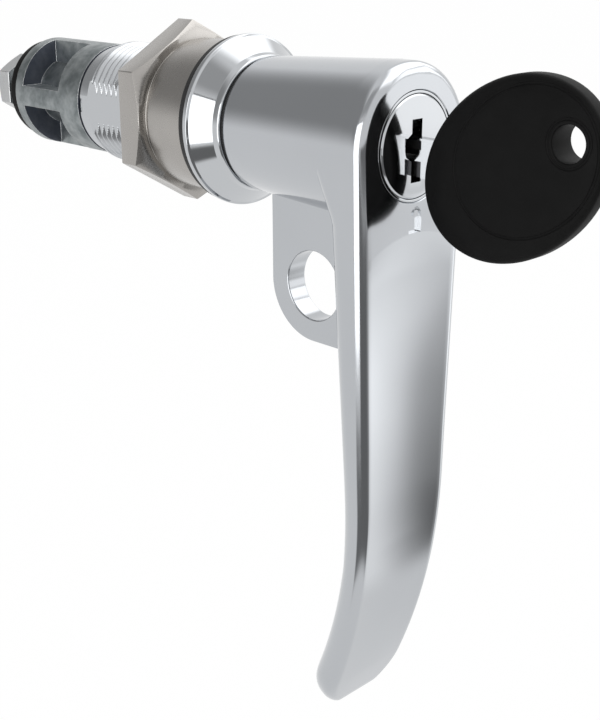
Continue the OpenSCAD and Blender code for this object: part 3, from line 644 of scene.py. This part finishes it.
# Key head: thick tilted oval of black plastic, moulded round the blade's end, with a hole for a ring.
# Each face has two fine grooves, one along an inner oval and one round the hole.
HEAD_Y, HEAD_Z = -58.207, -1.1
HEAD_TILT = math.radians(33.6)
HEAD_LONG, HEAD_WIDE = 17.08, 13.18
HOLE_Y, HOLE_Z, HOLE_R = -68.669, 4.29, 2.75
FINE_R, FINE_OUT = 0.3, 0.12
HEAD_CREASE = 40


def head_place(x, e, g):
    """A place of the head: x across it, e and g along the long and the short axis of its oval."""
    c, s = math.cos(HEAD_TILT), math.sin(HEAD_TILT)
    return (x, HEAD_Y + e * c + g * s, HEAD_Z - e * s + g * c)


def key_ring(x, inset):
    """One tilted oval ring of the key head, at a place x across it, smaller by inset all round."""
    long, wide = HEAD_LONG - inset, HEAD_WIDE - inset
    return [head_place(x, long * math.cos(a), wide * math.sin(a)) for a in around(144)]


profile = [(2.59, 6.0), (2.59, 5.0), (2.57, 4.4), (2.50, 3.6), (2.38, 2.8), (2.22, 2.1), (2.02, 1.5)]
profile += [(0.9 + 1.12 * math.sin(b), 1.5 * (1 - math.cos(b)))
            for b in map(math.radians, range(75, -1, -15))]
oval_rings = [key_ring(-x, d) for x, d in profile] + [key_ring(x, d) for x, d in reversed(profile)]
head = skin("key_head_oval", oval_rings, loop=False)
hole_section = rounded([(0.0, -4, 0), (3.6, -4, 0), (3.6, -2.6, 0), (HOLE_R, -2.6, 0.3),
                        (HOLE_R, 2.6, 0.3), (3.6, 2.6, 0), (3.6, 4, 0), (0.0, 4, 0)])
hole = skin("ring_hole", [[(x, HOLE_Y + r * math.cos(a), HOLE_Z + r * math.sin(a)) for r, x in hole_section]
                          for a in around(72)])
head = cut(head, hole, crease=HEAD_CREASE)


def head_thickness(e, g):
    """Half of the head's thickness at a place in its own plane, from the rings of its profile."""
    for (x0, d0), (x1, d1) in zip(profile, profile[1:]):
        inner, outer = (math.hypot(e / (HEAD_LONG - d), g / (HEAD_WIDE - d)) for d in (d0, d1))
        if outer <= 1 < inner:
            return x0 + (x1 - x0) * (inner - 1) / (inner - outer)
    return profile[0][0]


def head_groove(e0, g0, long, wide, side):
    """A cutter for a fine groove in one face of the head, along an oval in the head's plane."""
    rings = []
    for a in around(120):
        e, g = e0 + long * math.cos(a), g0 + wide * math.sin(a)
        out = Vector((math.cos(a) / long, math.sin(a) / wide)).normalized() * FINE_R
        x = head_thickness(e, g) + FINE_OUT
        rings.append([
            head_place(side * (x + FINE_R * math.sin(b)), e + out.x * math.cos(b), g + out.y * math.cos(b))
            for b in around(12)])
    return skin("head_groove", rings)


for side in (-1, 1):
    for oval in ((-3.45, -0.1, 12.9, 10.75), (-11.7, -1.3, 3.5, 3.5)):
        head = cut(head, head_groove(*oval, side), crease=HEAD_CREASE)
part(head, "key", "black_plastic", grain, "key_head")


# Stage: the latch hangs in a white studio over a pale floor, and one soft box lights it from the left.
# Cards that the camera doesn't see, and paint on the floor that only reflections show, give the chrome
# its grey and white fields.
def seen(tree):
    """1 for rays from the camera, from a reflection or through glass."""
    path = tree.node("LightPath")
    camera_ray, glossy = path.output("Is Camera Ray"), path.output("Is Glossy Ray")
    return camera_ray.math("MAXIMUM", glossy).math("MAXIMUM", path.output("Is Transmission Ray"))


def white_floor(tree):
    """Pale floor. Only reflections show its grey sheet, which is laid out by distance and angle."""
    spot = tree.node("NewGeometry", None, None, "Position")
    x, ahead = spot.axis("X"), spot.axis("Y") * -1 - 0.037
    away = (x * x + ahead * ahead) ** 0.5
    turn = x.math("ARCTAN2", ahead)
    far = turn.step(0.2, 0.7) * 0.42 + turn.step(0.75, 0.95) * 0.25
    sheet = turn.step(0.6, 1.25) * 1.05 + away.step(0.36, 0.8) * far + 0.2
    left_end, right_end = (turn * -1).step(1.4, 1.65), turn.step(1.2, 1.5)
    near_end = 1 - away.step(0.25, 0.31)
    under_box = away.step(0.48, 0.6) * (turn * -1).step(0.7, 0.9)
    edge = left_end.math("MAXIMUM", right_end).math("MAXIMUM", near_end).math("MAXIMUM", under_box)
    reflected = sheet + edge * (1 - sheet)
    shown = reflected + tree.node("LightPath", None, None, "Is Camera Ray") * (1 - reflected)
    pale = tree.node("BsdfDiffuse", None, {"Color": (0.8, 0.8, 0.8, 1)})
    white = tree.node("Emission", None, {"Color": (shown / 2).mix((0, 0, 0, 1), (2, 2, 2, 1))})
    return tree.node("MixShader", None, {0: seen(tree) * 0.99, 1: pale, 2: white})


def card(name, centre, target, size, paint):
    """A flat card that faces a target, in metres."""
    x, y = size[0] / 2, size[1] / 2
    mesh = bpy.data.meshes.new(name)
    mesh.from_pydata([(-x, -y, 0), (x, -y, 0), (x, y, 0), (-x, y, 0)], [], [(0, 1, 2, 3)])
    made = bpy.data.objects.new(name, mesh)
    made.location = centre
    made.rotation_euler = (Vector(target) - Vector(centre)).to_track_quat("Z", "Y").to_euler()
    bpy.context.collection.objects.link(made)
    mesh.materials.append(paint)
    return made


def fading(level, core):
    """Paint for a card of one brightness that fades to the white of the studio from its core to its edges."""
    def paint(tree):
        place = tree.node("TexCoord", None, None, "Generated")
        across, along = ((place.axis(name) * 2 - 1).math("ABSOLUTE") for name in "XY")
        edge = across.step(core, 1.0).math("MAXIMUM", along.step(core, 1.0))
        return tree.node("Emission", None, {"Color": edge.mix((level, level, level, 1), (1, 1, 1, 1))})
    return paint


card("floor", (0, 0, -0.3), (0, 0, 1), (12, 12), shaded("pale_floor", white_floor))
for name, centre, target, size, level, core in (
        ("back_card", (-0.695, 0.695, 0.69), (0, 0, 0), (3.4, 2.0), 0.38, 0.33),
        ("upper_card", (-0.8, -0.45, 1.25), (0, 0, 0), (1.9, 1.6), 0.52, 0.35),
        ("box_frame", (-0.575, -0.25, 0.03), (0, -0.03, 0), (0.58, 0.66), 0.15, 0.98),
        ("front_card", (-0.1, -1.1, -0.17), (0, 0, -0.1), (1.5, 0.3), 0.22, 0.5),
        ("right_card", (0.92, -0.77, -0.06), (0, 0, 0), (0.8, 0.5), 1.55, 0.35),
        ("brow_card", (0.98, -0.69, 0.37), (0, 0, 0), (1.1, 0.8), 2.1, 0.6),
        ("top_card", (0.75, -0.35, 1.0), (0, 0, 0), (2.2, 1.8), 2.3, 0.6)):
    card(name, centre, target, size, shaded("studio_card", fading(level, core))).visible_camera = False

world = bpy.data.worlds.new("studio")
world.use_nodes = True
bpy.context.scene.world = world
world.node_tree.nodes.clear()
sky = Shade(world.node_tree)
light = sky.node("Background", None, {"Color": seen(sky).mix((0.5, 0.5, 0.5, 1), (1, 1, 1, 1))})
world_out = world.node_tree.nodes.new("ShaderNodeOutputWorld")
world.node_tree.links.new(light.socket, world_out.inputs["Surface"])

BOX_PLACE, BOX_TARGET = (-0.55, -0.24, 0.02), (0, -0.03, 0)
box_light = bpy.data.lights.new("left_box", "AREA")
box_light.shape = "RECTANGLE"
box_light.size, box_light.size_y = 0.5, 0.6
box_light.energy = 2.3
left_box = bpy.data.objects.new("left_box", box_light)
left_box.location = BOX_PLACE
left_box.rotation_euler = (Vector(BOX_TARGET) - Vector(BOX_PLACE)).to_track_quat("-Z", "Y").to_euler()
bpy.context.collection.objects.link(left_box)


# Camera: at the photograph's viewing angle and distance, which were found from the circles of bezel, lock,
# barrel and spindle and the corners of the nut. Its lens gives the photograph's focal length in pixels.
FOCAL_PIXELS, PICTURE_HEIGHT, SENSOR = 1249.54, 720, 36
azimuth, elevation = math.radians(-44.904), math.radians(19.582)
behind = Vector((math.sin(azimuth) * math.cos(elevation), -math.cos(azimuth) * math.cos(elevation),
                 math.sin(elevation)))
camera_data = bpy.data.cameras.new("camera")
camera_data.sensor_width = SENSOR
camera_data.lens = FOCAL_PIXELS * SENSOR / PICTURE_HEIGHT
camera_data.clip_start, camera_data.clip_end = 0.005, 100
camera = bpy.data.objects.new("camera", camera_data)
camera.location = (-0.15154, -0.165404, 0.03429)
camera.rotation_euler = (-behind).to_track_quat("-Z", "Y").to_euler()
bpy.context.collection.objects.link(camera)
bpy.context.scene.camera = camera
bpy.context.scene.view_settings.view_transform = "Standard"
